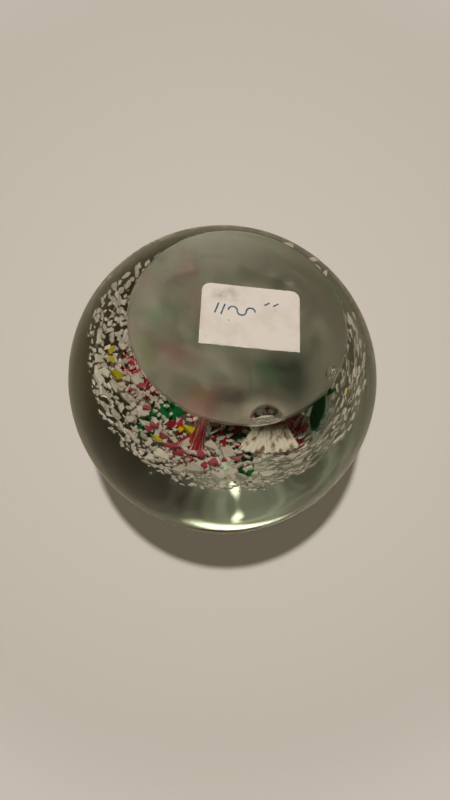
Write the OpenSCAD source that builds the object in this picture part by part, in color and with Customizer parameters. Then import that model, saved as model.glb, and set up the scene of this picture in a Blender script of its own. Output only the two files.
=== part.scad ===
// Hand-made glass paperweight: a solid ball of clear glass with a ground base,
// five trumpet flowers and five leaves on an umbrella-shaped bed of glass chips,
// and a price sticker in the hollow of the base.
// Millimetres. +Z up through the dome. Origin: centre of the base's resting ring.

/* [Ball] */
// Diameter of the glass ball
ball_d = 80; // [70:1:110]
// Diameter of the flat ground on the underside
base_d = 48; // [46:1:56]
// Width of the dome's glass around the core at the base
foot_w = 3; // [2:0.25:3.5]
// Width of the ring that the core itself rests on
rest_ring_w = 2.5; // [1.5:0.25:3]
// Depth of the hollow ground inside that ring
hollow_depth = 0.25; // [0.25:0.05:1]

/* [Bed of chips] */
// Diameter of the bed at its rim
bed_d = 54; // [50:1:58]
// Height of the bed's rim above the base
bed_rim_h = 25; // [20:1:28]
// How far the middle of the bed stands above its rim
bed_rise = 9; // [7:0.5:11]
// Thickness of the layer of chips
chip_t = 1.2; // [0.8:0.1:1.6]
// Distance from the middle of one chip to the next
chip_pitch = 3.4; // [2.8:0.1:4.5]
// Least space left between two chips
chip_gap = 0.4; // [0.2:0.1:0.8]

/* [Flowers and leaves] */
// Angle of the first flower
flower_turn = -84; // [-180:1:180]
// Petals on each flower
petals = 5; // [4:5]
// Diameter of one petal
petal_d = 3.8; // [3:0.1:4.6]
// Least space between a petal and the trumpet, or the next petal
petal_gap = 0.2; // [0.1:0.1:0.6]
// Thickness of petals and leaves
petal_t = 1.1; // [0.8:0.1:1.5]
// Length of a leaf
leaf_l = 12; // [9:0.5:14]
// Width of a leaf
leaf_w = 4.2; // [3:0.1:5.1]
// Least space between a leaf and the flowers beside it
leaf_gap = 0.5; // [0.2:0.1:1]
// Diameter of a trumpet at its mouth
throat_d = 3.2; // [2.6:0.1:3.9]
// Diameter of a trumpet at its foot
throat_foot_d = 1.4; // [1.2:0.1:1.8]
// Length of a trumpet below the bed
throat_l = 9; // [6:0.5:12]
// Wall of a trumpet
throat_wall = 0.4; // [0.3:0.05:0.5]

/* [Air bubbles] */
// Diameter of the bubble over each flower
bubble_d = 4.4; // [3:0.2:5]
// Height of that bubble's middle above the petals
bubble_h = 4.5; // [3:0.5:6]
// Diameter of the small seed bubbles
seed_d = 1; // [0.6:0.1:1.6]

/* [Chipped rim] */
// Radius of the ball that fits the larger shell-shaped nick in the base's edge
nick_big_r = 4.6; // [2:0.2:5]
// Angle of the larger nick about the axis
nick_big_turn = -118; // [-180:1:180]
// Radius of the ball that fits the smaller nick
nick_small_r = 2.4; // [1:0.2:3]
// Angle of the smaller nick
nick_small_turn = -165; // [-180:1:180]
// How deep both nicks go into the glass
nick_depth = 2; // [0.5:0.1:2.5]

/* [Price sticker] */
// Length of the sticker
label_l = 22.2; // [16:0.1:24]
// Width of the sticker
label_w = 15.4; // [12:0.1:17]
// Radius of its two round corners
label_r = 2; // [0.5:0.1:4]
// Thickness of the paper
label_t = 0.12; // [0.08:0.01:0.12]
// Thickness of the adhesive
glue_t = 0.05; // [0.03:0.01:0.06]
// How far the adhesive stops short of the paper's edge
glue_inset = 0.4; // [0.1:0.1:1]
// Angle of the sticker about the axis
label_turn = -12; // [-20:1:20]
// Sticker's middle, across the base
label_x = -2.1; // [-2.5:0.1:2.5]
// Sticker's middle, along the base
label_y = 1.9; // [-2.5:0.1:2.5]
// Width of a pen stroke
ink_w = 0.35; // [0.2:0.05:0.6]
// Thickness of the ink
ink_t = 0.02; // [0.01:0.01:0.03]

/* [Hidden] */
$fn = 96;

// flowers, and leaves between them: as many as NODES names
flower_count = 5;
// clearance that keeps fused pieces face to face without overlap
fuse = 0.02;
// overshoot of a cut past the face it opens
over = 1;

ball_r = ball_d / 2;
base_r = base_d / 2;
// height of the ball's centre, and of the whole paperweight
ball_z = sqrt(pow(ball_r, 2) - pow(base_r, 2));
total_h = ball_z + ball_r;

bed_r = bed_d / 2;
// the bed is a cap of this sphere, whose centre lies on the axis at cap_z
cap_r = (pow(bed_r, 2) + pow(bed_rise, 2)) / (2 * bed_rise);
cap_z = bed_rim_h + bed_rise - cap_r;
// clear space between the two gathers that chips, petals and leaves fill
seam_t = chip_t + petal_t + 3 * fuse;
core_foot_r = base_r - foot_w;
hollow_r = core_foot_r - rest_ring_w;

// petals stand clear of the trumpet and of each other, and flowers clear of the leaves
petal_reach = max((throat_d + petal_d) / 2, petal_d / 2 / sin(180 / petals)) + petal_gap;
flower_r = petal_reach + petal_d / 2;
flower_ring = (flower_r + leaf_w / 2 + leaf_gap) / sin(180 / flower_count);

// chips: rings of them from first_ring outward, chip_size from corner to corner
first_ring = 2;
chip_size = chip_pitch - chip_gap;
rings = floor((bed_r - chip_size / 2 - fuse) / chip_pitch);
throat_keep_out = (throat_d + chip_size) / 2 + petal_gap;
chip_min_share = 0.62;
white = 0;
yellow = 1;
red = 2;
pink = 3;
pink_ring = 5;
yellow_step = 13;
colour_step = 3;

white_tint = [0.93, 0.91, 0.87];
yellow_tint = [0.82, 0.74, 0.1];
red_tint = [0.48, 0.03, 0.07];
pink_tint = [0.8, 0.4, 0.42];
green_tint = [0.02, 0.34, 0.13];
glass_tint = [0.8, 0.86, 0.82, 0.35];

// depth inside the hollow of each layer of the sticker
glue_z = hollow_depth - glue_t;
label_z = glue_z - label_t;
ink_z = label_z - ink_t;

function flower_az(k) = flower_turn + (k - 1) * 360 / flower_count;
function leaf_az(k) = flower_az(k) + 180 / flower_count;
function ring_r(j) = j * chip_pitch;
function ring_count(j) = floor(2 * PI * ring_r(j) / chip_pitch);
function polar(r, a) = [r * cos(a), r * sin(a)];
function to_flower(p) = min([for (k = [1:flower_count]) norm(p - polar(flower_ring, flower_az(k)))]);
// glass that a chip is cut from, by its ring, its number in the ring and its place
function chip_kind(j, i, p) =
    to_flower(p) < flower_r && i % colour_step == 0 ? red :
    j == pink_ring && to_flower(p) < 1.3 * flower_r && i % colour_step != 1 ? pink :
    (7 * j + i) % yellow_step == 0 ? yellow :
    white;

// every chip as [ring radius, azimuth, length, width, turn, kind]
chips = [
    for (j = [first_ring:rings]) for (i = [0:ring_count(j) - 1])
        let (a = (i + 0.5 * (j % 2)) * 360 / ring_count(j), p = polar(ring_r(j), a))
        let (u = rands(0, 1, 3, 100 * j + i))
        let (l = chip_size * (chip_min_share + 0.2 * u[0]), w = sqrt(chip_size * chip_size - l * l))
        if (to_flower(p) > throat_keep_out)
            [ring_r(j), a, l, w * (0.7 + 0.3 * u[1]), 180 * u[2], chip_kind(j, i, p)]
];

// children stand on the bed, rho from the axis at azimuth az, with z along its outward normal
module on_bed(rho, az) {
    rotate([0, 0, az])
        translate([0, 0, cap_z])
        rotate([0, asin(rho / cap_r), 0])
        translate([0, 0, cap_r])
        children();
}

// layer of the bed between two heights above the core
module bed_layer(low, high) {
    intersection() {
        translate([0, 0, cap_z]) difference() {
            sphere(r = cap_r + high);
            sphere(r = cap_r + low);
        }
        cylinder(r = bed_r - fuse, h = ball_d);
    }
}

// ball cut flat at the base
module ball() {
    intersection() {
        translate([0, 0, ball_z]) sphere(r = ball_r);
        translate([-ball_r, -ball_r, 0]) cube([ball_d, ball_d, total_h + over]);
    }
}

// sides and crown of the first gather, larger by a clearance
module core_body(extra) {
    intersection() {
        translate([0, 0, cap_z]) sphere(r = cap_r + extra);
        union() {
            cylinder(r1 = core_foot_r + extra, r2 = bed_r + extra, h = bed_rim_h);
            translate([0, 0, bed_rim_h]) cylinder(r = bed_r + extra, h = ball_d);
        }
        translate([0, 0, ball_r]) cube([ball_d, ball_d, ball_d], center = true);
    }
}

// cone of a trumpet, from its foot up to a height above the core
module throat_cone(extra, top) {
    slope = (throat_d - throat_foot_d) / 2 / throat_l;
    r_foot = throat_foot_d / 2 + extra;
    translate([0, 0, -throat_l])
        cylinder(r1 = r_foot, r2 = r_foot + slope * (throat_l + top), h = throat_l + top);
}

// air bubble with its tail, which opens into the trumpet
module bubble() {
    neck = throat_d / 2 - throat_wall;
    translate([0, 0, seam_t + bubble_h]) sphere(d = bubble_d);
    translate([0, 0, seam_t - over]) cylinder(r1 = neck, r2 = bubble_d / 3, h = bubble_h + over);
}

// small round bubbles left in the glass
module seeds() {
    for (k = [1:flower_count]) {
        on_bed(flower_ring / 2, leaf_az(k)) translate([0, 0, bubble_h + 5]) sphere(d = seed_d);
    }
}

// shell-shaped nick in the base's edge: a ball of radius r that goes in from below
module nick(r, az) {
    rotate([0, 0, az]) translate([base_r, 0, nick_depth - r]) sphere(r = r);
}

module nicks() {
    nick(nick_big_r, nick_big_turn);
    nick(nick_small_r, nick_small_turn);
}

// First gather of clear glass: a cone whose crown carries the bed, with the sticker's
// hollow under it and five funnels where the flowers were pushed in.
module core_gather() {
    color(glass_tint) difference() {
        core_body(0);
        for (k = [1:flower_count]) on_bed(flower_ring, flower_az(k)) throat_cone(fuse, over);
        translate([0, 0, -over]) cylinder(r = hollow_r, h = hollow_depth + over);
        nicks();
    }
}

// Last gather of clear glass: the dome and the sides, with the flowers' air bubbles.
module dome_gather() {
    color(glass_tint) difference() {
        ball();
        core_body(fuse);
        translate([0, 0, -over]) cylinder(r = core_foot_r + fuse, h = 2 * over);
        bed_layer_space();
        for (k = [1:flower_count]) on_bed(flower_ring, flower_az(k)) bubble();
        seeds();
        nicks();
    }
}

// space in the seam above the core
module bed_layer_space() {
    intersection() {
        translate([0, 0, cap_z]) sphere(r = cap_r + seam_t);
        translate([0, 0, bed_rim_h - over]) cylinder(r = bed_r + fuse, h = ball_d);
    }
}

// All chips of one kind, each cut square through the chip layer.
module chip_group(kind, tint) {
    color(tint) intersection() {
        bed_layer(fuse, fuse + chip_t);
        for (c = chips) if (c[5] == kind) on_bed(c[0], c[1]) rotate([0, 0, c[4]]) {
            cube([c[2], c[3], 4 * chip_t], center = true);
        }
    }
}

// White petals round one trumpet, lying on the chips.
module flower_petals(k) {
    low = 2 * fuse + chip_t;
    color(white_tint) intersection() {
        bed_layer(low, low + petal_t);
        on_bed(flower_ring, flower_az(k)) for (q = [1:petals]) rotate([0, 0, q * 360 / petals]) {
            translate([petal_reach, 0, 0]) cylinder(d = petal_d, h = 4 * petal_t);
        }
    }
}

// Red trumpet of one flower: a thin funnel with its point towards the base.
module flower_throat(k) {
    color(red_tint) on_bed(flower_ring, flower_az(k)) difference() {
        throat_cone(0, chip_t);
        translate([0, 0, throat_wall]) throat_cone(-throat_wall, chip_t + over);
    }
}

// Green leaf between two flowers: two arcs that meet in a point at each end.
module leaf(k) {
    arc_r = (pow(leaf_l, 2) + pow(leaf_w, 2)) / (4 * leaf_w);
    low = 2 * fuse + chip_t;
    color(green_tint) intersection() {
        bed_layer(low, low + petal_t);
        on_bed(flower_ring, leaf_az(k)) {
            intersection_for (side = [-1, 1]) {
                translate([0, side * (arc_r - leaf_w / 2), 0]) cylinder(r = arc_r, h = 4 * petal_t);
            }
        }
    }
}

// children lie in the sticker's own frame, at height z
module on_label(z) {
    translate([label_x, label_y, z]) rotate([0, 0, label_turn]) children();
}

// outline with the two corners on the +Y side rounded, drawn in by a margin
module label_outline(margin, h) {
    l = label_l - 2 * margin;
    w = label_w - 2 * margin;
    translate([-l / 2, -w / 2, 0]) cube([l, w - label_r, h]);
    translate([label_r - l / 2, w / 2 - label_r - over, 0]) cube([l - 2 * label_r, label_r + over, h]);
    for (side = [-1, 1]) {
        translate([side * (l / 2 - label_r), w / 2 - label_r, 0]) cylinder(r = label_r, h = h);
    }
}

// Off-white paper sticker.
module price_label() {
    color([0.84, 0.8, 0.76]) on_label(label_z) label_outline(0, label_t);
}

// Adhesive between the sticker and the glass.
module label_adhesive() {
    color([0.75, 0.72, 0.6]) on_label(glue_z) label_outline(glue_inset, glue_t);
}

// Pen stroke from one point of the sticker to another.
module stroke(a, b) {
    v = b - a;
    translate([a[0], a[1], 0])
        rotate([0, 0, atan2(v[1], v[0])])
        translate([0, -ink_w / 2, 0])
        cube([norm(v), ink_w, ink_t]);
}

// Plain marks with no lettering: two slanted strokes, a wave of half rings and two ticks.
module pen_marks() {
    wave_r = 1;
    color([0.12, 0.25, 0.45]) on_label(ink_z) {
        stroke([8, 0.2], [7.2, 2.8]);
        stroke([6.6, 0], [5.8, 2.6]);
        for (q = [0:2]) translate([4 - 2 * q * wave_r, 1.2, 0]) rotate([0, 0, 180 * (q % 2)]) {
            rotate_extrude(angle = 180) translate([wave_r - ink_w / 2, 0]) square([ink_w, ink_t]);
        }
        stroke([-3, 3.2], [-4.2, 4]);
        stroke([-5, 3.2], [-6.2, 4]);
    }
}

core_gather();
dome_gather();
chip_group(white, white_tint);  // white_chip_bed
chip_group(yellow, yellow_tint);  // yellow_chips
chip_group(red, red_tint);  // red_chips
chip_group(pink, pink_tint);  // pink_chips
flower_petals(1);  // flower_1_petals
flower_petals(2);  // flower_2_petals
flower_petals(3);  // flower_3_petals
flower_petals(4);  // flower_4_petals
flower_petals(5);  // flower_5_petals
flower_throat(1);  // flower_1_throat
flower_throat(2);  // flower_2_throat
flower_throat(3);  // flower_3_throat
flower_throat(4);  // flower_4_throat
flower_throat(5);  // flower_5_throat
leaf(1);  // leaf_1
leaf(2);  // leaf_2
leaf(3);  // leaf_3
leaf(4);  // leaf_4
leaf(5);  // leaf_5
price_label();
label_adhesive();
pen_marks();
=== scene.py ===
import math

import bpy
import numpy as np
from mathutils import Matrix, Vector


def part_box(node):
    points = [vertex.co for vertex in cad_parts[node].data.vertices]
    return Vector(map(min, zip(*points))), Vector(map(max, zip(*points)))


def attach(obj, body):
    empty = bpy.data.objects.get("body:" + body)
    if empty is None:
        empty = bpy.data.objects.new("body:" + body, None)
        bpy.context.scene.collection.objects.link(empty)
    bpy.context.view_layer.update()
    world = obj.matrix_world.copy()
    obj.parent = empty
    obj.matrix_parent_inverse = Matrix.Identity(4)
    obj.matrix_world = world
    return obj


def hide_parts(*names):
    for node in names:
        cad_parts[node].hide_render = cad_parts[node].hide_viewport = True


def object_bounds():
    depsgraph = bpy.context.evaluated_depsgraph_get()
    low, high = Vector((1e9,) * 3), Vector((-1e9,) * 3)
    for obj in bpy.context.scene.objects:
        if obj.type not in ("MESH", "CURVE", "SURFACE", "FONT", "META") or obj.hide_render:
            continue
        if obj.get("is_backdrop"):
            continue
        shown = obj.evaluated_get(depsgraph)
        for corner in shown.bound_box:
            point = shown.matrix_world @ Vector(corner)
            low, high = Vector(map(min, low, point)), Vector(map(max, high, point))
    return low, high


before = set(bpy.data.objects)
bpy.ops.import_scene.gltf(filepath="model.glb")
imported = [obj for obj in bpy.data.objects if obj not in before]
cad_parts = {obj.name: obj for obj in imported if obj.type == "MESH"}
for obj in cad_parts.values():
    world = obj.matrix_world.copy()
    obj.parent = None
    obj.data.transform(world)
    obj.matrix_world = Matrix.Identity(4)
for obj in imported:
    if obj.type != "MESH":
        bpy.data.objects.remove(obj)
cad_low, cad_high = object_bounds()

# ---- The clear ball -------------------------------------------------------------------
# Two gathers of clear glass, fused into one lump with no surface between them. The
# outside is fire-polished; the underside was sawn off and ground flat and matt, hollow
# in the middle, and its edge has two shell-shaped nicks.
MM = 0.001
TOP = cad_high.z
BASE_R = 24 * MM
BALL_R = (TOP**2 + BASE_R**2) / (2 * TOP)
BALL_Z = TOP - BALL_R
HOLLOW_FLAT_R = 14 * MM
HOLLOW_R = 22.6 * MM
HOLLOW_DEPTH = 0.25 * MM
RIM_BEVEL = 0.25 * MM
NICKS = [  # azimuth in degrees, radius of the shell, depth, degrees of finer mesh to each side
    (-118, 4.6 * MM, 2.0 * MM, 14),
    (-165, 2.4 * MM, 1.6 * MM, 8),
]
NICK_EDGE = (BASE_R - 1.1 * MM, BASE_R + 0.15 * MM)
GLASS_IOR = 1.5
CLEAR_TINT = (0.93, 0.905, 0.73, 1)
GROUND_TINT = (0.45, 0.48, 0.34, 1)
# What lamp light keeps on its way in and on its way out.
POLISHED_KEEPS = (0.088, 0.079, 0.051), (0.95, 0.95, 0.92)
GROUND_KEEPS = (0.12, 0.103, 0.070), (0.8, 0.79, 0.74)
BUBBLE_KEEPS = (0.97, 0.97, 0.97), (0.97, 0.97, 0.97)


def smooth_step(low, high, x):
    """0 below low, 1 above high, and a smooth cubic between them."""
    t = np.clip((x - low) / (high - low), 0, 1)
    return t * t * (3 - 2 * t)


def ring_faces(rows, cols):
    """Four-sided faces of a grid of rows by cols points whose columns close on themselves."""
    row = np.arange(rows - 1)[:, None] * cols
    here = np.arange(cols)[None, :]
    after = (here + 1) % cols
    return np.stack([row + here, row + after, row + cols + after, row + cols + here], -1).reshape(-1, 4)


def sheet_faces(rows, cols):
    """Four-sided faces of an open grid of rows by cols points."""
    first = (np.arange(rows - 1)[:, None] * cols + np.arange(cols - 1)[None, :]).reshape(-1)
    return np.stack([first, first + 1, first + cols + 1, first + cols], -1)


def close_poles(points, faces):
    """Points without the repeats that lie at a pole, in the same order, and faces without them."""
    first, same = np.unique(np.round(points * 1e8), axis=0, return_index=True, return_inverse=True)[1:]
    kept = np.sort(first)
    number = np.searchsorted(kept, first)[same.reshape(-1)]
    return points[kept], [list(dict.fromkeys(number[list(face)].tolist())) for face in faces]


def make_piece(name, points, faces, material_slots, smooth=True):
    """An object at the origin whose mesh has these points and faces, with closed poles."""
    points, faces = close_poles(points, faces)
    mesh = bpy.data.meshes.new(name)
    mesh.from_pydata(points.tolist(), [], faces)
    for material in material_slots:
        mesh.materials.append(material)
    mesh.polygons.foreach_set("use_smooth", np.full(len(mesh.polygons), smooth))
    mesh.update()
    piece = bpy.data.objects.new(name, mesh)
    bpy.context.scene.collection.objects.link(piece)
    return piece


def new_material(name):
    """An empty node material: its tree and its output node."""
    material = bpy.data.materials.new(name)
    material.use_nodes = True
    tree = material.node_tree
    tree.nodes.clear()
    return material, tree, tree.nodes.new("ShaderNodeOutputMaterial")


def feed(tree, socket, value):
    """Gives an input a plain value, or links it to the output of another node."""
    if isinstance(value, bpy.types.NodeSocket):
        tree.links.new(value, socket)
    else:
        socket.default_value = value


def node(tree, kind, values=(), **settings):
    """A node with its settings, and its inputs by name or number: plain values or outputs."""
    made = tree.nodes.new(kind)
    for key, value in settings.items():
        setattr(made, key, value)
    for key, value in dict(values).items():
        feed(tree, made.inputs[key], value)
    return made


def combine(tree, operation, first, second):
    """The output of a Math node over two values."""
    return node(tree, "ShaderNodeMath", {0: first, 1: second}, operation=operation).outputs[0]


def rescale(tree, value, values, **settings):
    """The output of a Map Range node with its limits."""
    return node(tree, "ShaderNodeMapRange", {"Value": value, **values}, **settings).outputs["Result"]


def blend(tree, share, first, second):
    """The colour between two colours, each a colour or the output of another node."""
    mix = node(tree, "ShaderNodeMix", data_type="RGBA")
    for socket, value in ((0, share), (6, first), (7, second)):
        feed(tree, mix.inputs[socket], (*value, 1) if isinstance(value, tuple) else value)
    return mix.outputs[2]


def object_place(tree):
    """The point of the surface in the object's own coordinates."""
    return node(tree, "ShaderNodeTexCoord").outputs["Object"]


def noise(tree, place, values):
    """Noise over a place, as a value."""
    return node(tree, "ShaderNodeTexNoise", {"Vector": place, **values}).outputs["Fac"]


def lamp_share(tree):
    """1 for the rays that carry lamp and room light, which pass the glass unbent."""
    path = node(tree, "ShaderNodeLightPath")
    return combine(tree, "MAXIMUM", path.outputs["Is Shadow Ray"], path.outputs["Is Diffuse Ray"])


def show(tree, out, shader, instead, share):
    """Shows a shader, and for a share of the rays another one instead."""
    mix = node(tree, "ShaderNodeMixShader", {0: share, 1: shader.outputs[0], 2: instead.outputs[0]})
    feed(tree, out.inputs["Surface"], mix.outputs[0])


def lamp_light(tree, entering, leaving):
    """What lamp light keeps on its way into the glass and on its way out of it."""
    inside = node(tree, "ShaderNodeNewGeometry").outputs["Backfacing"]
    return node(tree, "ShaderNodeBsdfTransparent", {"Color": blend(tree, inside, entering, leaving)})


def clear_glass(name, entering, leaving):
    """Polished glass with a faint olive tint; the last two say what lamp light keeps."""
    material, tree, out = new_material(name)
    glass = node(tree, "ShaderNodeBsdfPrincipled", {
        "Base Color": CLEAR_TINT, "Roughness": 0.0, "IOR": GLASS_IOR, "Transmission Weight": 1.0})
    show(tree, out, glass, lamp_light(tree, entering, leaving), lamp_share(tree))
    return material


def ground_glass():
    """Matt ground glass: rough, milky in clouds, with fine grinding scratches.

    The haze takes a faint green or rose stain from the coloured glass above it, and is
    thinner towards -X and +Y.
    """
    material, tree, out = new_material("ground_glass")
    place = object_place(tree)
    clouds = noise(tree, place, {"Scale": 75.0, "Detail": 4.0, "Roughness": 0.55, "Distortion": 0.6})
    stain = node(tree, "ShaderNodeTexNoise", {
        "Vector": place, "Scale": 85.0, "Detail": 1.5, "Distortion": 0.4, "W": 3.7}, noise_dimensions="4D")
    grit = noise(tree, place, {"Scale": 2600.0, "Detail": 3.0})
    bump = node(tree, "ShaderNodeBump", {"Strength": 0.3, "Distance": 0.00005, "Height": grit})
    hue = node(tree, "ShaderNodeValToRGB", {"Fac": stain.outputs["Fac"]})
    ramp = hue.color_ramp
    ramp.elements[0].position, ramp.elements[0].color = 0.36, (0.16, 0.30, 0.15, 1)
    ramp.elements[1].position, ramp.elements[1].color = 0.64, (0.40, 0.22, 0.19, 1)
    middle = ramp.elements.new(0.5)
    middle.color = (0.36, 0.35, 0.26, 1)
    glass = node(tree, "ShaderNodeBsdfPrincipled", {
        "Base Color": GROUND_TINT, "Roughness": 0.38, "IOR": GLASS_IOR, "Transmission Weight": 1.0,
        "Specular IOR Level": 0.2, "Normal": bump.outputs["Normal"]})
    haze = node(tree, "ShaderNodeBsdfPrincipled", {
        "Base Color": hue.outputs["Color"], "Roughness": 0.7, "Specular IOR Level": 0.15,
        "Normal": bump.outputs["Normal"]})
    milk = rescale(tree, clouds, {"From Min": 0.38, "From Max": 0.66, "To Min": 0.03, "To Max": 0.44})
    # Less haze towards -X and +Y, which leaves the frosting darker there.
    slant = node(tree, "ShaderNodeVectorMath", {0: place, 1: (0.8, -0.6, 0)}, operation="DOT_PRODUCT")
    haze_slant = rescale(tree, slant.outputs["Value"], {
        "From Min": -0.9 * BASE_R, "From Max": 0.3 * BASE_R, "To Min": 0.2})
    worn = combine(tree, "MULTIPLY", milk, haze_slant)
    matt = node(tree, "ShaderNodeMixShader", {0: worn, 1: glass.outputs[0], 2: haze.outputs[0]})
    show(tree, out, matt, lamp_light(tree, *GROUND_KEEPS), lamp_share(tree))
    return material


def ball_meridian():
    """Radius and height from the middle of the base, out over its rim and up to the top.

    The hollow falls away by a smooth step between its two radii; the rim is a small bevel;
    above it the line is the circle of the ball.
    """
    base_rho = np.linspace(0, BASE_R - 2 * RIM_BEVEL, 60)
    base_z = HOLLOW_DEPTH * (1 - smooth_step(HOLLOW_FLAT_R, HOLLOW_R, base_rho))
    bevel_rho = BASE_R - RIM_BEVEL * np.array([1.0, 0.55, 0.2])
    bevel_z = RIM_BEVEL * np.array([0.0, 0.12, 0.42])
    first = math.acos((BALL_Z - 0.7 * RIM_BEVEL) / BALL_R)
    angle = np.concatenate([np.linspace(first, first + 0.12, 16), np.linspace(first + 0.135, math.pi, 120)])
    return (np.concatenate([base_rho, bevel_rho, BALL_R * np.sin(angle)]),
            np.concatenate([base_z, bevel_z, BALL_Z - BALL_R * np.cos(angle)]))


def ball_azimuths():
    """Angles round the axis, closer together at the two nicks."""
    even = np.radians(np.arange(0, 360, 1.5))
    close = [np.radians(az + np.arange(-span, span, 0.4)) for az, _, _, span in NICKS]
    return np.unique(np.round(np.concatenate([even, *close]) % (2 * math.pi), 5))


def ball_points():
    """Points of the ball: the meridian turned about Z, made slightly uneven, then nicked.

    A point inside a nick's sphere moves out onto it, less so past the edge of the base, and
    the sphere is rippled in rings round the point of the blow.
    """
    rho, z = ball_meridian()
    turn = ball_azimuths()
    rho, turn = rho[:, None], turn[None, :]
    z = z[:, None] + 0 * turn
    side = smooth_step(3 * MM, 16 * MM, z) * rho / BALL_R
    uneven = 0.10 * MM * np.sin(2 * turn + 0.7) + 0.05 * MM * np.sin(3 * turn - 1.1 + 60 * z)
    rho = rho * (1 + side * uneven / BALL_R)
    points = np.stack([rho * np.cos(turn), rho * np.sin(turn), z], -1)
    for az, radius, depth, _ in NICKS:
        a = math.radians(az)
        middle = np.array([BASE_R * math.cos(a), BASE_R * math.sin(a), depth - radius])
        away = points - middle
        far = np.linalg.norm(away, axis=-1, keepdims=True)
        out = points[..., :2] @ np.array([math.cos(a), math.sin(a)])
        deep = 1 - smooth_step(*NICK_EDGE, out)[..., None]
        blow = np.linalg.norm(points - np.array([BASE_R * math.cos(a), BASE_R * math.sin(a), 0]),
                              axis=-1, keepdims=True)
        shell = radius * (1 + 0.014 * np.sin(blow / MM * 5) + 0.006 * np.sin(away[..., 0:1] / MM * 8))
        points = np.where(far < shell, points + (middle + away / far * shell - points) * deep, points)
    return points


# The bed is a slice of a sphere, on which the bubbles, chips, leaves and flowers all lie.
BED_RIM_R = 27 * MM
BED_RIM_Z = 25 * MM
BED_RISE = 9 * MM
CAP_R = (BED_RIM_R**2 + BED_RISE**2) / (2 * BED_RISE)
CAP_Z = BED_RIM_Z + BED_RISE - CAP_R
SEAM_T = 2.36 * MM
FLOWER_RING = 13.95 * MM
FLOWER_TURN = -84.0
FLOWER_BUBBLE = (3.4 * MM, 2.0 * MM, 1.9 * MM)  # lift over the flower, radius, tail
SEED_BUBBLES = 14


def flower_azimuth(k, past=0.0):
    """The angle of flower k round the axis, or of a place some degrees past it."""
    return math.radians(FLOWER_TURN + 72 * k + past)


def bed_frames(rho, az):
    """Origins and axes (across, round, out) on the bed's cap, rho from the axis at azimuth az."""
    rho, az = np.broadcast_arrays(np.asarray(rho, float), np.asarray(az, float))
    lean = np.arcsin(rho / CAP_R)
    out = np.stack([np.sin(lean) * np.cos(az), np.sin(lean) * np.sin(az), np.cos(lean)], -1)
    round_ = np.stack([-np.sin(az), np.cos(az), 0 * az], -1)
    across = np.cross(round_, out)
    return out * CAP_R + np.array([0, 0, CAP_Z]), np.stack([across, round_, out], -2)


def bubble_points(origin, axes, radius, tail):
    """A bubble: a ball whose lower half is drawn out into a tail by the cube of its depth."""
    v = np.linspace(0, math.pi, 17)[:, None]
    u = np.linspace(0, 2 * math.pi, 24, endpoint=False)[None, :]
    down = (1 + np.cos(v)) / 2
    wide = radius * np.sin(v) * (1 - 0.55 * down**2 * (tail > 0))
    high = -radius * np.cos(v) - tail * down**3
    local = np.stack([wide * np.cos(u), wide * np.sin(u), high + 0 * u], -1)
    return origin + local @ axes


def gather_glass():
    """The whole glass body: its outside, and each air bubble as an inner surface."""
    outside = ball_points()
    rows, cols = outside.shape[:2]
    points, faces = [outside.reshape(-1, 3)], [ring_faces(rows, cols)]
    count = rows * cols
    rng = np.random.default_rng(5)
    spots = []
    lift, radius, tail = FLOWER_BUBBLE
    for k in range(5):
        spots.append((FLOWER_RING, flower_azimuth(k), SEAM_T + lift, radius, tail))
    for k in range(SEED_BUBBLES):
        spots.append((rng.uniform(4, 24) * MM, rng.uniform(0, 2 * math.pi), rng.uniform(2.5, 9) * MM,
                      rng.uniform(0.2, 0.5) * MM, 0.0))
    for rho, az, lift, radius, tail in spots:
        origin, axes = bed_frames(rho, az)
        bubble = bubble_points(origin + axes[2] * lift, axes, radius, tail)
        points.append(bubble.reshape(-1, 3))
        faces.append(ring_faces(*bubble.shape[:2])[:, ::-1] + count)
        count += bubble.shape[0] * bubble.shape[1]
    outer = len(faces[0])
    points, faces = np.concatenate(points), np.concatenate(faces)
    skins = [clear_glass("clear_glass", *POLISHED_KEEPS), ground_glass(),
             clear_glass("bubble_skin", *BUBBLE_KEEPS)]
    piece = make_piece("glass_ball", points, faces, skins)
    kind = (points[faces].mean(1)[:, 2] < HOLLOW_DEPTH * 1.05).astype(np.int32)
    kind[outer:] = 2
    piece.data.polygons.foreach_set("material_index", kind)
    return piece


glass_ball = gather_glass()
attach(glass_ball, "root")
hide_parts("core_gather", "dome_gather")

# ---- The bed of chips -------------------------------------------------------------------
# Crushed glass picked up on the hot gather: mostly opaque white, some yellow, red and
# pink. The flakes are flat, sharp-cornered and lie close together on the umbrella.


def chip_cloud(rng, count, rho_low, rho_high, size_low, size_high, lift_low, lift_high):
    """Places of count chips: even over the bed's area between two radii, with sizes and lifts."""
    rho = np.sqrt(rng.uniform(rho_low**2, rho_high**2, count))
    return {"rho": rho, "az": rng.uniform(-math.pi, math.pi, count),
            "size": rng.uniform(size_low, size_high, count), "lift": rng.uniform(lift_low, lift_high, count)}


def chosen_chips(rng, spots, lift_low, lift_high):
    """Places of chips set one by one: x, y and width in millimetres."""
    x, y, size = (np.array(spots) * MM).T
    return {"rho": np.hypot(x, y), "az": np.arctan2(y, x), "size": size,
            "lift": rng.uniform(lift_low, lift_high, len(x))}


def join_places(*groups):
    """One set of places out of several."""
    return {key: np.concatenate([group[key] for group in groups]) for key in groups[0]}


def thin_out(places, gap):
    """Drops each chip that lies closer to an earlier one than gap times their mean size."""
    x, y = places["rho"] * np.cos(places["az"]), places["rho"] * np.sin(places["az"])
    apart = np.hypot(x[:, None] - x[None, :], y[:, None] - y[None, :])
    near = apart < gap * (places["size"][:, None] + places["size"][None, :]) / 2
    keep = np.ones(len(x), bool)
    for i in range(1, len(x)):
        keep[i] = not (near[i, :i] & keep[:i]).any()
    return {key: value[keep] for key, value in places.items()}


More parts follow.
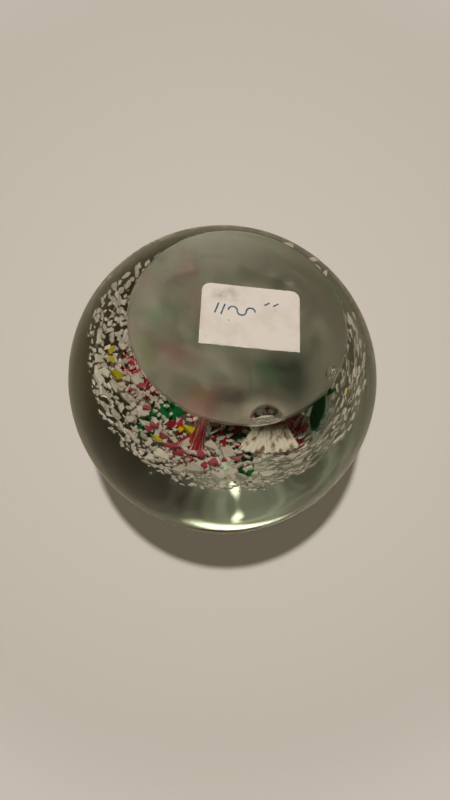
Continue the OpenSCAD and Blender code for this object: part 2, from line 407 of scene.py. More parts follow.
def turn_matrices(angle, axis):
    """Row-vector rotation matrices about local axis 0, 1 or 2, one per angle."""
    c, s = np.cos(angle), np.sin(angle)
    one, zero = np.ones_like(c), np.zeros_like(c)
    rows = [[one, zero, zero], [zero, c, s], [zero, -s, c]]
    order = np.roll(np.arange(3), axis)
    matrix = np.stack([np.stack(row, -1) for row in rows], -2)
    return matrix[:, order][:, :, order]


def chip_points(rng, places, tilt):
    """Corners of many chips at once, as chips x 4 rings x 5 corners.

    Each is an uneven five-cornered shard: two full rings between two hardly smaller ones,
    so its edges stay sharp, turned at random and tilted a little off the bed. Towards -X,
    where the gather was drawn out, each is squeezed to a sliver along the rim.
    """
    n, corners = len(places["rho"]), 5
    angle = (np.arange(corners) + rng.uniform(-0.47, 0.47, (n, corners))) * 2 * math.pi / corners
    reach = places["size"][:, None] / 2 * rng.uniform(0.55, 1.3, (n, corners))
    stretch = rng.uniform(0.45, 1.0, (n, 1))
    thick = rng.uniform(0.07, 0.13, (n, 1, 1)) * places["size"][:, None, None]
    ring_in = np.array([0.92, 1.0, 1.0, 0.9])[None, :, None]
    ring_up = np.array([-1.0, -0.8, 0.8, 1.0])[None, :, None]
    x = (reach * np.cos(angle))[:, None, :] * ring_in
    y = (reach * stretch * np.sin(angle))[:, None, :] * ring_in
    z = thick * ring_up + 0 * x
    local = np.stack([x, y, z], -1)
    matrix = turn_matrices(rng.uniform(0, 2 * math.pi, n), 2)
    matrix = matrix @ turn_matrices(rng.normal(0, tilt, n), 0) @ turn_matrices(rng.normal(0, tilt, n), 1)
    origin, axes = bed_frames(places["rho"], places["az"])
    origin = origin + axes[:, 2] * places["lift"][:, None]
    shape = np.einsum("nrci,nij->nrcj", local, matrix)
    drawn = smooth_step(0.45, 0.9, -np.cos(places["az"]))[:, None, None]
    shape[..., 0] *= 1 - 0.62 * drawn
    shape[..., 1] *= 1 + 0.45 * drawn
    return np.einsum("nrci,nij->nrcj", shape, axes) + origin[:, None, None, :]


def chip_faces(count, rings, corners):
    """Faces of count slabs: the sides between rings, and a many-sided face at each end."""
    sides = ring_faces(rings, corners)
    step = rings * corners
    first = (np.arange(count) * step)
    body = (sides[None] + first[:, None, None]).reshape(-1, 4)
    low = np.arange(corners)[::-1][None] + first[:, None]
    high = np.arange(corners)[None] + (rings - 1) * corners + first[:, None]
    return body.tolist() + low.tolist() + high.tolist()


def node_group(name, inputs, output):
    """An empty node group with these inputs (name to type) and one colour output."""
    tree = bpy.data.node_groups.new(name, "ShaderNodeTree")
    for key, kind in inputs.items():
        tree.interface.new_socket(name=key, in_out="INPUT", socket_type=kind)
    tree.interface.new_socket(name=output, in_out="OUTPUT", socket_type="NodeSocketColor")
    return tree, tree.nodes.new("NodeGroupInput"), tree.nodes.new("NodeGroupOutput")


def mottle_group():
    """The colour of one lump: between two colours by its own tone plus a fine noise."""
    tree, taken, given = node_group("mottled_lump", {
        "Colour": "NodeSocketColor", "Other": "NodeSocketColor"}, "Lump Colour")
    mottle = noise(tree, object_place(tree), {"Scale": 700.0, "Detail": 3.0, "Roughness": 0.55})
    tone = node(tree, "ShaderNodeAttribute", attribute_name="tone")
    uneven = combine(tree, "ADD", tone.outputs["Fac"], mottle)
    share = rescale(tree, uneven, {"From Min": 0.35, "From Max": 1.35})
    colour = blend(tree, share, taken.outputs["Colour"], taken.outputs["Other"])
    feed(tree, given.inputs["Lump Colour"], colour)
    return tree


MOTTLED_LUMP = mottle_group()


INNER_GLOSS = 0.12


def finish_plain(tree, out, colour, roughness, gloss, **more):
    """Ends a tree in a plain surface of this colour."""
    shader = node(tree, "ShaderNodeBsdfPrincipled", {
        "Base Color": colour, "Roughness": roughness, "Specular IOR Level": gloss, **more})
    feed(tree, out.inputs["Surface"], shader.outputs[0])


def grouped_material(name, group, values, roughness):
    """Glass inside clear glass, its colour from a node group with these input values."""
    material, tree, out = new_material(name)
    colour = node(tree, "ShaderNodeGroup", node_tree=group)
    for key, value in values.items():
        feed(tree, colour.inputs[key], value)
    finish_plain(tree, out, colour.outputs[0], roughness, INNER_GLOSS)
    return material


def enamel(name, colour, other, roughness):
    """Coloured glass inside clear glass: mottled, with each lump a little lighter or darker."""
    values = {"Colour": (*colour, 1), "Other": (*other, 1)}
    return grouped_material(name, MOTTLED_LUMP, values, roughness)


def tone_by_lump(piece, rng, lumps):
    """Gives all the points of one lump the same random tone from 0 to 1."""
    tones = np.repeat(rng.random(lumps), len(piece.data.vertices) // lumps)
    piece.data.attributes.new("tone", "FLOAT", "POINT").data.foreach_set("value", tones.astype(np.float32))


CHIP_TILT = 0.16


def make_chips(name, cad_node, material, rng, places):
    """One piece that holds every chip of a colour."""
    points = chip_points(rng, places, CHIP_TILT)
    piece = make_piece(name, points.reshape(-1, 3), chip_faces(*points.shape[:3]), [material], smooth=False)
    tone_by_lump(piece, rng, len(points))
    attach(piece, "root")
    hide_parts(cad_node)


LARGE_WHITES = [  # x, y and width in millimetres
    (24.2, -5.5, 3.6), (23.0, -9.6, 3.2), (21.6, -12.2, 3.4), (25.0, -1.6, 3.4), (18.6, -15.8, 2.8),
    (3.0, -14.6, 4.2), (-1.0, -13.9, 3.6), (-4.6, -14.6, 3.4), (7.4, -20.6, 3.6), (1.0, -22.0, 4.0),
    (-4.0, -22.2, 4.0), (-8.6, -20.8, 3.6), (13.4, -19.6, 3.0), (-13.6, -19.0, 3.2), (-18.4, -15.4, 3.0),
]


def bare_side(rng, places):
    """Thins the bed out on its far side, towards +Y, where its rim also lies closer in."""
    far_side = smooth_step(0.2, 0.9, np.sin(places["az"] + 0.1))
    keep = rng.random(len(places["rho"])) > 0.55 * far_side
    keep &= places["rho"] < (26.8 - 3.4 * far_side) * MM
    return {key: value[keep] for key, value in places.items()}


WHITE_CLOUDS = [  # count, then least and most radius, size and lift in millimetres; bare on one side
    (260, 15, 26.4, 2.0, 2.9, -0.7, 0.3, False),
    (7500, 11, 26.8, 0.7, 1.9, -1.0, 0.8, True),
    (240, 2, 12, 1.3, 2.4, 0.6, 1.3, False),
    (420, 7, 15, 0.9, 2.0, -1.7, -0.6, False),
]
WHITE_GAP = 0.5
white_rng = np.random.default_rng(11)
white_groups = [chosen_chips(white_rng, LARGE_WHITES, -0.9 * MM, -0.5 * MM)]
for count, *limits, bare in WHITE_CLOUDS:
    cloud = chip_cloud(white_rng, count, *[limit * MM for limit in limits])
    white_groups.append(bare_side(white_rng, cloud) if bare else cloud)
white_places = thin_out(join_places(*white_groups), WHITE_GAP)
white_enamel = enamel("white_enamel", (0.73, 0.69, 0.64), (0.47, 0.445, 0.41), 0.4)
make_chips("white_chips", "white_chip_bed", white_enamel, white_rng, white_places)

YELLOWS = [  # x, y and width in millimetres, as are REDS and PINKS
    (21.8, -2.6, 2.9), (20.9, -4.4, 2.0), (19.6, -7.2, 2.9), (9.2, -17.4, 2.7), (3.2, -12.4, 3.0),
    (0.0, -7.2, 2.2), (-20.0, 8.0, 2.4), (-23.5, 2.0, 2.2), (5.0, -12.9, 2.0), (13.0, 18.0, 2.6),
    (-6.0, 21.0, 2.6), (4.0, 14.0, 2.4), (-14.0, 14.0, 2.4), (20.0, 9.0, 2.6), (9.0, 8.0, 2.0),
]
REDS = [
    (3.5, -7.2, 3.0), (1.0, -9.2, 3.8), (5.2, -10.4, 3.0), (-5.2, -8.2, 4.2), (7.0, -12.2, 2.2),
    (2.2, -11.0, 2.2), (-1.6, -11.6, 2.0), (-3.0, -12.8, 1.9), (8.6, -13.0, 1.9), (-6.4, -6.6, 2.8),
    (-1.4, -7.0, 2.2), (6.0, 6.0, 3.0), (-3.0, 9.0, 3.4), (-8.0, 3.0, 3.2), (9.0, 0.5, 3.0),
    (2.0, 10.0, 2.6), (-9.0, -3.0, 2.6), (10.0, 11.0, 2.4), (-6.0, 12.0, 2.6), (1.0, 4.0, 3.0),
    (-2.6, -10.0, 3.2), (-4.2, -11.4, 2.6), (-0.2, -12.4, 2.4), (3.6, -8.8, 2.8), (5.4, -12.6, 2.4),
    (-6.0, -11.6, 2.2), (2.6, -13.2, 1.8), (-1.0, -9.0, 2.8),
]
PINKS = [
    (3.7, -18.0, 3.6), (5.8, -17.2, 2.8), (0.2, -17.0, 3.0), (-2.6, -18.2, 3.6), (-4.6, -16.8, 2.6),
    (9.8, -13.6, 2.6), (12.2, -10.2, 2.2), (10.8, -15.2, 2.2), (13.8, -6.0, 2.2), (7.6, -15.6, 2.0),
    (-7.0, -15.4, 2.4), (-1.2, -20.0, 2.6), (14.0, 12.0, 2.8), (-16.0, 10.0, 2.8), (0.0, 18.0, 3.0),
    (6.0, 17.0, 2.6), (-10.0, 16.0, 2.6), (17.0, 4.0, 2.6), (-18.0, 3.0, 2.4), (-17.0, -6.0, 2.4),
]
COLOURED = [  # name, spots, seed, least and most lift in millimetres, the two colours, roughness
    ("yellow", YELLOWS, 12, -1.5, -1.1, (0.60, 0.50, 0.02), (0.34, 0.29, 0.02), 0.35),
    ("red", REDS, 13, -0.9, -0.2, (0.46, 0.020, 0.042), (0.19, 0.008, 0.018), 0.3),
    ("pink", PINKS, 14, -1.1, -0.6, (0.52, 0.17, 0.19), (0.34, 0.05, 0.08), 0.35),
]
for name, spots, seed, low, high, colour, other, roughness in COLOURED:
    lump_rng = np.random.default_rng(seed)
    places = chosen_chips(lump_rng, spots, low * MM, high * MM)
    finish = enamel(f"{name}_enamel", colour, other, roughness)
    make_chips(f"{name}_lumps", f"{name}_chips", finish, lump_rng, places)

# ---- Leaves -------------------------------------------------------------------------------
# Five slips of deep green glass between the flowers, pointed at both ends and creased
# along the middle, pressed onto the bed while soft.
LEAF_L = 13 * MM
LEAF_W = 5.2 * MM
LEAF_T = 0.7 * MM
LEAF_LIFT = -0.2 * MM


def leaf_points(rng, az):
    """A leaf as a closed ring section swept along its length.

    Half the width goes as a power of one minus the square of the place along it; the
    section is a flat lens with a crease, and the whole leaf follows the bed, rising at its
    outer end.
    """
    along = np.sin(np.linspace(-math.pi / 2, math.pi / 2, 33))[:, None]
    u = np.linspace(0, 2 * math.pi, 20, endpoint=False)[None, :]
    half = LEAF_W / 2 * (1 - along**2) ** 0.75 * (1 + 0.16 * np.sin(9 * along + rng.uniform(0, 6)))
    across = half * np.cos(u) + 0.45 * MM * np.sin(3 * along + rng.uniform(0, 6))
    crease = 0.5 * MM * np.abs(np.cos(u)) * (1 - along**2)
    rise = 2.2 * MM * smooth_step(-0.6, 0.9, along)
    up = LEAF_T / 2 * np.sin(u) * (1 - along**2) ** 0.4 + crease + rise
    rho = FLOWER_RING - 1.2 * MM + LEAF_L / 2 * along + 0 * u
    origin, axes = bed_frames(rho, az + 0 * rho)
    return origin + axes[..., 1, :] * across[..., None] + axes[..., 2, :] * (up + LEAF_LIFT)[..., None]


green_glass = enamel("green_glass", (0.005, 0.150, 0.040), (0.002, 0.070, 0.018), 0.25)
for k in range(5):
    leaf_rng = np.random.default_rng(30 + k)
    section = leaf_points(leaf_rng, flower_azimuth(k, 36))
    leaf = make_piece(f"leaf_blade_{k + 1}", section.reshape(-1, 3), ring_faces(*section.shape[:2]),
                      [green_glass])
    tone_by_lump(leaf, leaf_rng, 1)
    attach(leaf, "root")
    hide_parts(f"leaf_{k + 1}")

# ---- Flowers ------------------------------------------------------------------------------
# Five trumpets. Each began as a flat pad of white and red glass that a pick pushed down
# towards the base: the pad's middle is now a striped funnel and its rim five petals.
PETAL_R = 5.6 * MM
MOUTH_R = 1.5 * MM
FOOT_R = 0.6 * MM
TRUMPET_L = 9 * MM
PETAL_T = 0.5 * MM
TRUMPET_T = 0.35 * MM


def flower_frame(k):
    """Origin and axes of flower k on the bed."""
    return bed_frames(FLOWER_RING, flower_azimuth(k))


def on_flower(k, r, u, z):
    """Points at radius r, angle u and height z over the bed at flower k, following its curve."""
    r, u, z = np.broadcast_arrays(r, u, z)
    local = np.stack([r * np.cos(u), r * np.sin(u), z - r**2 / (2 * CAP_R)], -1)
    origin, axes = flower_frame(k)
    return origin + local @ axes


def streaks(piece, turn, along):
    """Stores each point's angle round the flower and its place from throat to tip."""
    turn, along = np.broadcast_arrays(turn, along)
    for name, values in (("turn", turn), ("along", along)):
        layer = piece.data.attributes.new(name, "FLOAT", "POINT")
        layer.data.foreach_set("value", values.reshape(-1).astype(np.float32))


def stripe_group():
    """Stripes that run from the throat outwards: two colours parted by a stretched noise."""
    tree, taken, given = node_group("drawn_stripes", {
        "Pale": "NodeSocketColor", "Stripe": "NodeSocketColor",
        "Count": "NodeSocketFloat", "Share": "NodeSocketFloat"}, "Stripe Colour")
    turn = node(tree, "ShaderNodeAttribute", attribute_name="turn")
    along = node(tree, "ShaderNodeAttribute", attribute_name="along")
    across = combine(tree, "MULTIPLY", turn.outputs["Fac"], taken.outputs["Count"])
    slow = combine(tree, "MULTIPLY", along.outputs["Fac"], 1.6)
    place = node(tree, "ShaderNodeCombineXYZ", {0: across, 1: slow})
    uneven = noise(tree, place.outputs[0], {"Scale": 1.0, "Detail": 2.0, "Roughness": 0.6})
    edge = rescale(tree, uneven, {
        "From Min": combine(tree, "ADD", taken.outputs["Share"], -0.06),
        "From Max": combine(tree, "ADD", taken.outputs["Share"], 0.06)})
    colour = blend(tree, edge, taken.outputs["Pale"], taken.outputs["Stripe"])
    feed(tree, given.inputs["Stripe Colour"], colour)
    return tree


DRAWN_STRIPES = stripe_group()


def striped(name, pale, stripe, count, share):
    """Drawn-out glass with stripes of another colour, count of them to a radian."""
    values = {"Pale": (*pale, 1), "Stripe": (*stripe, 1), "Count": count, "Share": share}
    return grouped_material(name, DRAWN_STRIPES, values, 0.35)


def petal_grid():
    """Radius, angle and height of the flared mouth against a place v from throat to tip.

    The radius has five lobes that deepen with v; the height swells, then the tips droop
    onto the chips, and each petal is cupped along its middle.
    """
    v = np.linspace(0, 1, 16)[:, None]
    u = np.linspace(0, 2 * math.pi, 90, endpoint=False)[None, :]
    lobe = 1 - 0.34 * v * (1 - np.abs(np.cos(2.5 * u)) ** 0.6)
    r = MOUTH_R + (PETAL_R - MOUTH_R) * v * lobe
    z = SEAM_T - 0.7 * MM + 1.5 * MM * np.sin(v * 2.3) - 0.3 * MM * v * np.cos(5 * u)
    return r, u, z, v


def trumpet_grid():
    """Radius, angle and height of the funnel: a thin cone that flares like a horn, lightly fluted."""
    v = np.linspace(0, 1, 26)[:, None]
    u = np.linspace(0, 2 * math.pi, 48, endpoint=False)[None, :]
    r = FOOT_R + 0.9 * MM * v + 2.9 * MM * v**6
    r = r * (1 + 0.05 * np.sin(8 * u + 2 * v))
    z = -TRUMPET_L + (TRUMPET_L + SEAM_T - 0.9 * MM) * (1 - (1 - v) ** 1.15)
    return r, u, z, v


petal_glass = striped("petal_glass", (0.80, 0.76, 0.71), (0.50, 0.11, 0.14), 3.0, 0.56)
trumpet_glass = striped("trumpet_glass", (0.66, 0.56, 0.52), (0.42, 0.022, 0.042), 4.0, 0.44)
for k in range(5):
    r, u, z, v = petal_grid()
    grid = on_flower(k, r, u, z)
    petals = make_piece(f"petals_{k + 1}", grid.reshape(-1, 3), ring_faces(*grid.shape[:2]), [petal_glass])
    streaks(petals, u + 7 * k, v)
    thick = petals.modifiers.new("thickness", "SOLIDIFY")
    thick.thickness, thick.offset = PETAL_T, 0
    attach(petals, "root")
    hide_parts(f"flower_{k + 1}_petals")
    r, u, z, v = trumpet_grid()
    grid = on_flower(k, r, u, z)
    faces = ring_faces(*grid.shape[:2])
    trumpet = make_piece(f"trumpet_{k + 1}", grid.reshape(-1, 3), faces, [trumpet_glass])
    streaks(trumpet, u + 7 * k, v)
    wall = trumpet.modifiers.new("wall", "SOLIDIFY")
    wall.thickness, wall.offset = TRUMPET_T, -1
    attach(trumpet, "root")
    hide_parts(f"flower_{k + 1}_throat")

# One pad smeared sideways before it went down, and left a fan of white threads on the bed;
# a slip of green glass lies smeared beside it.
FAN_CORNERS = [  # x and y in millimetres: narrow end, then wide end
    [(-8.2, -9.4), (-14.2, -7.0)], [(-6.4, -13.9), (-17.6, -10.9)]]
GREEN_CORNERS = [[(-18.4, 1.6), (-20.0, 1.9)], [(-17.4, -6.0), (-20.4, -5.4)]]
FAN_LIFT = 1.3 * MM
FAN_T = 0.3 * MM


def fan_points(corners, pinch):
    """A sheet between four corners, ruffled by sines across it, lying just under the bed.

    pinch narrows it towards both ends, by the square of the place along it.
    """
    corners = np.array(corners) * MM
    t = np.linspace(0, 1, 16)[:, None, None]
    s = 0.5 + (np.linspace(0, 1, 90)[None, :, None] - 0.5) * (1 - pinch * (2 * t - 1) ** 2)
    narrow = corners[0, 0] * (1 - s) + corners[0, 1] * s
    wide = corners[1, 0] * (1 - s) + corners[1, 1] * s
    spread = narrow * (1 - t) + wide * t
    bow = np.array([-0.3, -0.95]) * 1.1 * MM * np.sin(math.pi * s) * t
    flat = spread + bow
    lift = (-FAN_LIFT - 1.5 * MM * (1 - t) + 0.18 * MM * np.sin(s * 60))[..., 0]
    origin, axes = bed_frames(np.hypot(flat[..., 0], flat[..., 1]), np.arctan2(flat[..., 1], flat[..., 0]))
    return origin + axes[..., 2, :] * lift[..., None], s[..., 0], (t + 0 * s)[..., 0]


slip_glass = enamel("slip_glass", (0.02, 0.30, 0.09), (0.008, 0.14, 0.04), 0.25)
thread_glass = striped("thread_glass", (0.80, 0.77, 0.70), (0.24, 0.16, 0.12), 6.0, 0.56)
for name, corners, pinch, glass, slot in (
        ("drawn_threads", FAN_CORNERS, 0.0, thread_glass, "white_glass"),
        ("green_slip", GREEN_CORNERS, 0.85, slip_glass, "green_glass")):
    grid, s, t = fan_points(corners, pinch)
    smear = make_piece(name, grid.reshape(-1, 3), sheet_faces(*grid.shape[:2]), [glass])
    streaks(smear, s, t)
    tone_by_lump(smear, np.random.default_rng(60), 1)
    sheet = smear.modifiers.new("sheet", "SOLIDIFY")
    sheet.thickness, sheet.offset = FAN_T, 0
    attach(smear, "root")

# ---- Price label --------------------------------------------------------------------------
# A cut slip of white sticker paper on the ground base, stuck by its own adhesive film, with
# a few strokes of blue pen. Its two round corners are die-cut; its other long edge is torn.
LABEL_L = 22.2 * MM
LABEL_W = 15.4 * MM
LABEL_R = 2 * MM
LABEL_T = 0.1 * MM
LABEL_TURN = math.radians(-12)
LABEL_AT = (-2.1 * MM, 1.9 * MM)
LABEL_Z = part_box("price_label")[0].z
RUB_AT = (4.4 * MM, 5.8 * MM, LABEL_Z)


def label_points():
    """The slip as a grid: each row across is as wide as the rounded outline lets it be.

    The lower edge wanders by a fine noise; the sheet waves a little towards its corners.
    """
    rng = np.random.default_rng(77)
    s = np.linspace(-1, 1, 97)[None, :]
    t = np.concatenate([np.linspace(0, 0.86, 40), 1 - (1 - np.linspace(0, 1, 14)) ** 2 * 0.13])[:, None]
    y = -LABEL_W / 2 + LABEL_W * t
    inside = np.clip(y - (LABEL_W / 2 - LABEL_R), 0, LABEL_R)
    half = LABEL_L / 2 - LABEL_R + np.sqrt(LABEL_R**2 - inside**2)
    x = s * half
    fray = np.cumsum(rng.normal(0, 0.012, 97))
    fray = (fray - np.linspace(fray[0], fray[-1], 97)) * MM + rng.normal(0, 0.035, 97) * MM
    y = y + fray[None, :] * (1 - smooth_step(0, 0.12, t))
    wave = 0.03 * MM * (np.sin(x * 400 + 1.0) * np.sin(y * 320) + 1) / 2
    c, sn = math.cos(LABEL_TURN), math.sin(LABEL_TURN)
    return np.stack([LABEL_AT[0] + c * x - sn * y, LABEL_AT[1] + sn * x + c * y, LABEL_Z + wave], -1)


def sticker_paper():
    """Warm white paper: fibres, a grey rub near one corner, brown specks and a soft grime."""
    material, tree, out = new_material("sticker_paper")
    place = object_place(tree)
    fibre = noise(tree, place, {"Scale": 1500.0, "Detail": 5.0, "Roughness": 0.7})
    grime = noise(tree, place, {"Scale": 160.0, "Detail": 4.0, "Roughness": 0.6})
    speck = noise(tree, place, {"Scale": 620.0, "Detail": 1.0})
    rub = node(tree, "ShaderNodeVectorMath", {0: place, 1: RUB_AT}, operation="DISTANCE")
    near = rescale(tree, rub.outputs["Value"], {"From Min": 3.6 * MM, "From Max": 0.6 * MM})
    worn = rescale(tree, grime, {"From Min": 0.46, "From Max": 0.64})
    smudge = combine(tree, "MULTIPLY", near, worn)
    dot = rescale(tree, speck, {"From Min": 0.735, "From Max": 0.77, "To Max": 0.75})
    dirt = combine(tree, "MAXIMUM", smudge, dot)
    tint = blend(tree, worn, (0.80, 0.745, 0.69), (0.73, 0.67, 0.61))
    paper = blend(tree, dirt, tint, (0.38, 0.35, 0.32))
    bump = node(tree, "ShaderNodeBump", {"Strength": 0.4, "Distance": 0.00003, "Height": fibre})
    finish_plain(tree, out, paper, 0.75, 0.25, Normal=bump.outputs["Normal"])
    return material


grid = label_points()
faces = sheet_faces(*grid.shape[:2])[:, ::-1]
label = make_piece("paper_label", grid.reshape(-1, 3), faces, [sticker_paper()])
body = label.modifiers.new("paper", "SOLIDIFY")
body.thickness, body.offset = LABEL_T, -1
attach(label, "root")
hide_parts("price_label")


def pen_ink():
    """Blue ballpoint ink, thinner where the ball skipped."""
    material, tree, out = new_material("pen_ink")
    skip = noise(tree, object_place(tree), {"Scale": 1400.0, "Detail": 3.0})
    thin = rescale(tree, skip, {"From Min": 0.45, "From Max": 0.7})
    colour = blend(tree, thin, (0.035, 0.095, 0.19), (0.16, 0.24, 0.34))
    finish_plain(tree, out, colour, 0.4, 0.3)
    return material


def adhesive_film():
    """Yellowed clear adhesive that has taken up a little dust."""
    material, tree, out = new_material("adhesive_film")
    dust = noise(tree, object_place(tree), {"Scale": 500.0, "Detail": 3.0})
    colour = blend(tree, dust, (0.62, 0.55, 0.40), (0.42, 0.36, 0.26))
    finish_plain(tree, out, colour, 0.5, 0.5)
    return material


for cad_name, finish in (("pen_marks", pen_ink()), ("label_adhesive", adhesive_film())):
    for cad_slot in bpy.data.objects[cad_name].material_slots:
        cad_slot.material = finish

# ---- Stage --------------------------------------------------------------------------------
# A plain pale floor under the base, a table face that the dome touches when the paperweight
# stands upside down, and a pale backdrop board. Each shows from one side only, so that
# lamps on both sides reach the glass.
CAMERA_TILT = math.radians(25)
CAMERA_ROLL = math.radians(16)
CAMERA_FAR = 4.02 * BALL_R
AIM_SIDE = -2.6 / 600
AIM_UP = 19.4 / 600
STAGE_GAP = 0.1 * MM
PALE = (0.62, 0.575, 0.52)
DISC_SIDES = 64

centre = Vector((0, 0, BALL_Z))
towards = Vector((0, -math.sin(CAMERA_TILT), -math.cos(CAMERA_TILT)))
base_up = Vector((0, math.cos(CAMERA_TILT), -math.sin(CAMERA_TILT)))
side = base_up.cross(towards)
up = base_up * math.cos(CAMERA_ROLL) - side * math.sin(CAMERA_ROLL)
right = up.cross(towards)
aim = Matrix((right, up, towards)).transposed()
off = Vector((AIM_SIDE, AIM_UP, -1)).normalized()
turn = off.rotation_difference(Vector((0, 0, -1)))
camera = bpy.data.objects.new("camera", bpy.data.cameras.new("camera"))
camera.data.lens = 27
camera.data.sensor_width = 36
camera.data.clip_start = 0.005
bpy.context.scene.collection.objects.link(camera)
camera.matrix_world = Matrix.Translation(centre + towards * CAMERA_FAR) @ (aim @ turn.to_matrix()).to_4x4()
bpy.context.scene.camera = camera


def one_sided(name, colour, fade=None, mirrored=True):
    """Matt paint seen from its front only, which lamp light and bounced light pass through.

    fade gives a middle and two radii between which the paint thins out to nothing. Without
    mirrored, light that the glass mirrors passes through too.
    """
    material, tree, out = new_material(name)
    loose = lamp_share(tree)
    if not mirrored:
        path = node(tree, "ShaderNodeLightPath")
        loose = combine(tree, "MAXIMUM", path.outputs["Glossy Depth"], loose)
    behind = node(tree, "ShaderNodeNewGeometry").outputs["Backfacing"]
    hide = combine(tree, "MAXIMUM", behind, loose)
    if fade:
        middle, inner, outer = fade
        far = node(tree, "ShaderNodeVectorMath", {0: object_place(tree), 1: middle}, operation="DISTANCE")
        thin = rescale(tree, far.outputs["Value"], {
            "From Min": inner, "From Max": outer}, interpolation_type="SMOOTHSTEP")
        hide = combine(tree, "MAXIMUM", hide, thin)
    matt = node(tree, "ShaderNodeBsdfDiffuse", {"Color": (*colour, 1)})
    show(tree, out, matt, node(tree, "ShaderNodeBsdfTransparent"), hide)
    return material


def stage_disc(name, middle, facing, radius, material):
    """A round flat stage piece about a middle, its front towards facing."""
    facing = Vector(facing).normalized()
    first = facing.orthogonal().normalized()
    second = facing.cross(first)
    turn = np.linspace(0, 2 * math.pi, DISC_SIDES, endpoint=False)[:, None]
    rim = np.array(middle) + radius * (np.cos(turn) * np.array(first) + np.sin(turn) * np.array(second))
    disc = make_piece(name, rim, [range(DISC_SIDES)], [material], smooth=False)
    disc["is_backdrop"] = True
    return disc


FLOOR_R = 3.0
TABLE_R = 0.6
TABLE_PALE = (0.35, 0.31, 0.23)
BOARD_FAR = 0.36
BOARD_IN, BOARD_OUT = 0.30, 0.42
floor = stage_disc("floor", (0, 0, -STAGE_GAP), (0, 0, 1), FLOOR_R,
                   one_sided("pale_floor", PALE, mirrored=False))
table = stage_disc("table", (0, 0, TOP + STAGE_GAP), (0, 0, -1), TABLE_R,
                   one_sided("pale_table", TABLE_PALE))
table.visible_camera = False


def paint_gathered_light(material):
    """Paints onto the table, as emission, the light that the ball would gather there: two soft painted pools
    of light and a painted hot spot.

    Each fades with the distance from its middle, and noise breaks them into threads.
    """
    tree = material.node_tree
    matt = next(n for n in tree.nodes if n.type == "BSDF_DIFFUSE")
    mix = matt.outputs[0].links[0].to_node
    place = object_place(tree)
    total = 0.0
    for middle, radius, power in PAINTED_LIGHT_POOLS:
        far = node(tree, "ShaderNodeVectorMath", {0: place, 1: (*middle, TOP)}, operation="DISTANCE")
        fall = rescale(tree, far.outputs["Value"], {
            "From Min": radius, "From Max": 0.15 * radius, "To Max": power}, interpolation_type="SMOOTHSTEP")
        total = combine(tree, "ADD", total, fall)
    thread = noise(tree, place, {"Scale": 240.0, "Detail": 2.0, "Distortion": 1.2})
    ridge = rescale(tree, thread, {"From Min": 0.40, "From Max": 0.62, "To Min": 0.6, "To Max": 1.4})
    glow = node(tree, "ShaderNodeEmission", {
        "Color": (0.88, 1.0, 0.78, 1), "Strength": combine(tree, "MULTIPLY", total, ridge)})
    add = node(tree, "ShaderNodeAddShader", {0: matt.outputs[0], 1: glow.outputs[0]})
    feed(tree, mix.inputs[1], add.outputs[0])


PAINTED_LIGHT_POOLS = [  # painted pools of light and a painted hot spot: middle, radius and strength
    ((-9 * MM, 12 * MM), 21 * MM, 0.11),
    ((-4.6 * MM, 6.6 * MM), 7.0 * MM, 0.24),
    ((-5.5 * MM, 4.1 * MM), 0.9 * MM, 3.0),
]
# The table's material gets painted pools of caustic light and a painted glint, as emission.
paint_gathered_light(table.data.materials[0])
board_at = centre - towards * BOARD_FAR
board = stage_disc("board", board_at, towards, BOARD_OUT,
                   one_sided("pale_board", PALE, (tuple(board_at), BOARD_IN, BOARD_OUT)))


def lamp(name, kind, at, size, power, colour):
    """A lamp at a place, turned to the middle of the ball."""
    made = bpy.data.objects.new(name, bpy.data.lights.new(name, kind))
    if kind == "AREA":
        made.data.shape = "DISK"
        made.data.size = size
    else:
        made.data.shadow_soft_size = size
    made.data.energy = power
    made.data.color = colour
    made.location = at
    made.rotation_euler = (centre - at).to_track_quat("-Z", "Y").to_euler()
    bpy.context.scene.collection.objects.link(made)
    return made


def light_only(made, thing, state):
    """Lets a lamp reach only one thing, or all but that thing."""
    group = bpy.data.collections.new(made.name + "_reach")
    group.objects.link(thing)
    made.light_linking.receiver_collection = group
    group.collection_objects[0].light_linking.link_state = state


UNDER_WAY = Vector((0.205, 0.105, -0.973))
UNDER_FAR = 0.58
OVER_WAY = Vector((-0.3, -0.34, 0.9))
BEHIND_WAY = Vector((0.0080, -0.0618, -0.1866))
under = lamp("lamp_under", "AREA", centre + UNDER_WAY * UNDER_FAR,
             size=0.05, power=2.45, colour=(1.0, 0.93, 0.84))
light_only(under, board, "EXCLUDE")
over = lamp("lamp_over", "SUN", centre + OVER_WAY, size=0, power=2.9, colour=(1.0, 0.95, 0.89))
over.data.angle = math.radians(24)
light_only(over, board, "EXCLUDE")
behind = lamp("lamp_board", "POINT", centre + BEHIND_WAY,
              size=0.0015, power=2.6, colour=(1.0, 0.96, 0.91))
light_only(behind, board, "INCLUDE")
fill = lamp("lamp_fill", "SUN", centre + towards, size=0, power=0.28, colour=(1.0, 0.96, 0.90))
fill.data.angle = math.radians(120)
light_only(fill, board, "INCLUDE")
for made in (under, over, behind, fill):
    made.visible_camera = False
    made.visible_transmission = False
for made in (under, behind, fill):
    made.visible_glossy = False
# The board's lamp lights it as evenly near its edge as at its middle.
BEHIND_EVEN = 12.2
behind.data.use_nodes = True
glow = behind.data.node_tree
even = node(glow, "ShaderNodeLightFalloff", {"Strength": BEHIND_EVEN})
feed(glow, glow.nodes["Emission"].inputs["Strength"], even.outputs["Constant"])

# Painted highlights: glowing discs, no lamps, standing for the bright parts of the lower lamp that the glass
# mirrors, spread out behind one another.
PAINTED_HIGHLIGHTS = [  # direction from the ball, radius and power
    ((0.21, 0.10, -0.973), 0.016, 7.0),
    ((0.07, 0.085, -0.99), 0.040, 6.0),
    ((0.115, 0.05, -0.99), 0.046, 9.0),
    ((0.16, 0.01, -0.987), 0.050, 12.0),
    ((0.20, -0.035, -0.98), 0.046, 9.0),
    ((0.24, -0.08, -0.967), 0.040, 6.0),
]
FACE_STEP = 0.002


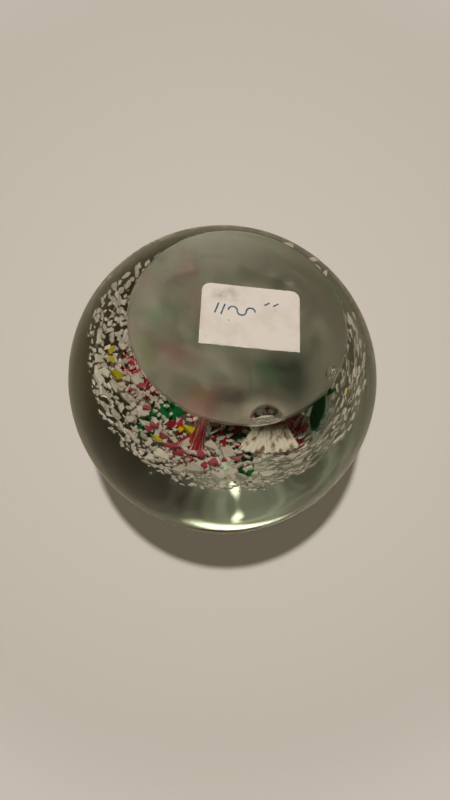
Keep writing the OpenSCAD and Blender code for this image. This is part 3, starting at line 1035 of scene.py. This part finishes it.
def painted_highlight_material(name, middle, radius, power):
    """A painted highlight: one bright part of the lower lamp as the glass shows it, painted as emission on a
    disc that is no lamp, fading from cool to warm.
    """
    material, tree, out = new_material(name)
    far = node(tree, "ShaderNodeVectorMath", {0: object_place(tree), 1: middle}, operation="DISTANCE")
    hue = node(tree, "ShaderNodeValToRGB", {
        "Fac": rescale(tree, far.outputs["Value"], {"From Max": radius})})
    ramp = hue.color_ramp
    ramp.elements[0].position, ramp.elements[0].color = 0.0, (0.80, 1.0, 0.92, 1)
    ramp.elements[1].position, ramp.elements[1].color = 1.0, (0.0, 0.0, 0.0, 1)
    for position, colour in ((0.35, (0.62, 0.86, 0.78, 1)), (0.7, (0.30, 0.28, 0.17, 1))):
        ramp.elements.new(position).color = colour
    glow = node(tree, "ShaderNodeEmission", {"Color": hue.outputs["Color"], "Strength": power})
    clear = node(tree, "ShaderNodeBsdfTransparent")
    add = node(tree, "ShaderNodeAddShader", {0: glow.outputs[0], 1: clear.outputs[0]})
    feed(tree, out.inputs["Surface"], add.outputs[0])
    return material


# Each disc glows only for rays that the glass mirrors or bends: a painted highlight, not a lamp.
for i, (direction, radius, power) in enumerate(PAINTED_HIGHLIGHTS):
    spot = centre + Vector(direction) * (UNDER_FAR + FACE_STEP * i)
    face = stage_disc(f"lamp_face_{i + 1}", spot, centre - spot, radius,
                      painted_highlight_material(f"lamp_face_{i + 1}", spot, radius, power))
    face.visible_camera = False
    face.visible_diffuse = False
    face.visible_shadow = False

room = bpy.data.worlds.new("room")
bpy.context.scene.world = room
room.use_nodes = True
tree = room.node_tree
tree.nodes.clear()
camera_rays = node(tree, "ShaderNodeLightPath").outputs["Is Camera Ray"]
seen = blend(tree, camera_rays, (0.046, 0.039, 0.027), (0.56, 0.50, 0.43))
background = node(tree, "ShaderNodeBackground", {"Color": seen})
node(tree, "ShaderNodeOutputWorld", {"Surface": background.outputs[0]})

scene = bpy.context.scene
scene.view_settings.view_transform = "Standard"
scene.cycles.use_denoising = True
scene.cycles.max_bounces = 16
scene.cycles.transmission_bounces = 14
scene.cycles.transparent_max_bounces = 16
scene.cycles.glossy_bounces = 6
scene.cycles.caustics_reflective = False
scene.cycles.caustics_refractive = False
scene.cycles.sample_clamp_indirect = 6.0

low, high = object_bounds()
